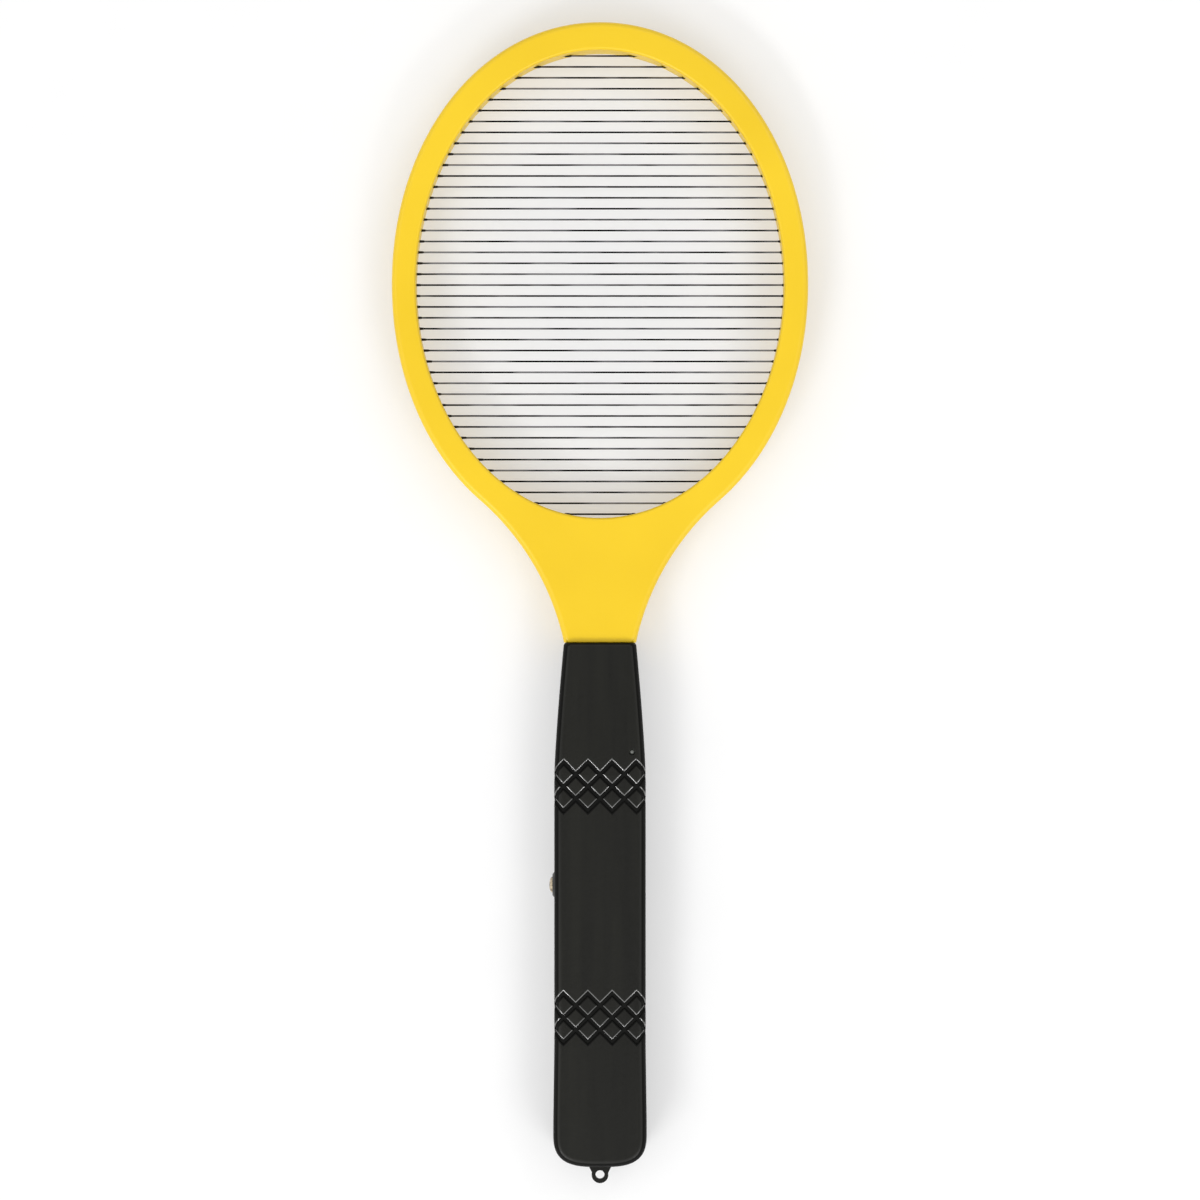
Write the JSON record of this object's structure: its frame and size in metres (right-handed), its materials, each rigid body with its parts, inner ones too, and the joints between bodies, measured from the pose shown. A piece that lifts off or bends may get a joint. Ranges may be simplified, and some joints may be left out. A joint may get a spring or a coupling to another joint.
{
  "type": "electric fly swatter",
  "caption": "Battery racket with an oval head of parallel high-voltage wires, a black grip with a side push button, a sliding battery door and a lanyard eye.",
  "frame": {"origin": "middle of the overall width and length, on the surface that the handle's back lies on", "axes": "+X across the racket, with the button on the -X edge; +Y from the grip to the head; +Z out of the front face"},
  "size_m": [0.1644, 0.4586, 0.024],
  "materials": {
    "yellow_plastic": "satin moulded ABS",
    "black_plastic": "fine-textured moulded ABS",
    "carrier_plastic": "matt natural nylon",
    "grid_steel": "drawn wire",
    "bus_metal": "tinned strip",
    "screw_steel": "zinc plated",
    "spring_steel": "nickel plated",
    "contact_brass": "stamped",
    "red_insulation": "extruded PVC",
    "blue_insulation": "extruded PVC",
    "black_insulation": "extruded PVC",
    "cell_sleeve": "metallised film sleeve",
    "switch_plastic": "moulded nylon",
    "button_plastic": "glossy, mottled tan",
    "board_laminate": "phenolic paper laminate",
    "ferrite": "sintered",
    "bobbin_plastic": "moulded",
    "copper_winding": "enamelled copper",
    "capacitor_red": "dipped epoxy",
    "capacitor_blue": "dipped epoxy",
    "component_black": "moulded epoxy",
    "resistor_tan": "lacquered",
    "led_lens": "diffused clear"
  },
  "bodies": {
    "racket": {"head_front_shell": "yellow_plastic", "head_back_shell": "yellow_plastic", "wire_carrier": "carrier_plastic", "live_wires": "grid_steel", "return_wires": "grid_steel", "live_bus": "bus_metal", "return_bus": "bus_metal", "head_screws": "screw_steel", "live_lead": "red_insulation", "return_lead": "blue_insulation", "handle_front_shell": "black_plastic", "handle_back_shell": "black_plastic", "handle_screws": "screw_steel", "battery_cell_left": "cell_sleeve", "battery_cell_right": "cell_sleeve", "bridge_contact": "spring_steel", "positive_contact": "spring_steel", "negative_contact": "spring_steel", "positive_lead": "red_insulation", "negative_lead": "black_insulation", "switch_lead": "red_insulation", "switch_housing": "switch_plastic", "switch_nut": "screw_steel", "button_spring": "spring_steel", "switch_terminals": "contact_brass", "circuit_board": "board_laminate", "board_screws": "screw_steel", "transformer_core": "ferrite", "transformer_bobbin": "bobbin_plastic", "transformer_winding": "copper_winding", "storage_capacitor": "capacitor_red", "doubler_capacitors": "capacitor_blue", "rectifier_diodes": "component_black", "switching_transistor": "component_black", "resistors": "resistor_tan", "indicator_led": "led_lens"},
    "button": {"push_button": "button_plastic", "contact_bridge": "contact_brass"},
    "door": {"battery_door": "black_plastic"}
  },
  "joints": [
    {"name": "button_press", "type": "slide", "parent": "racket", "child": "button", "axis": [1, 0, 0], "range_m": [0, 0.0012], "stiffness_N_per_m": 400, "springref_m": -0.003, "deforming": ["button_spring"]},
    {"name": "door_slide", "type": "slide", "parent": "racket", "child": "door", "axis": [0, -1, 0], "range_m": [0, 0.068]}
  ]
}
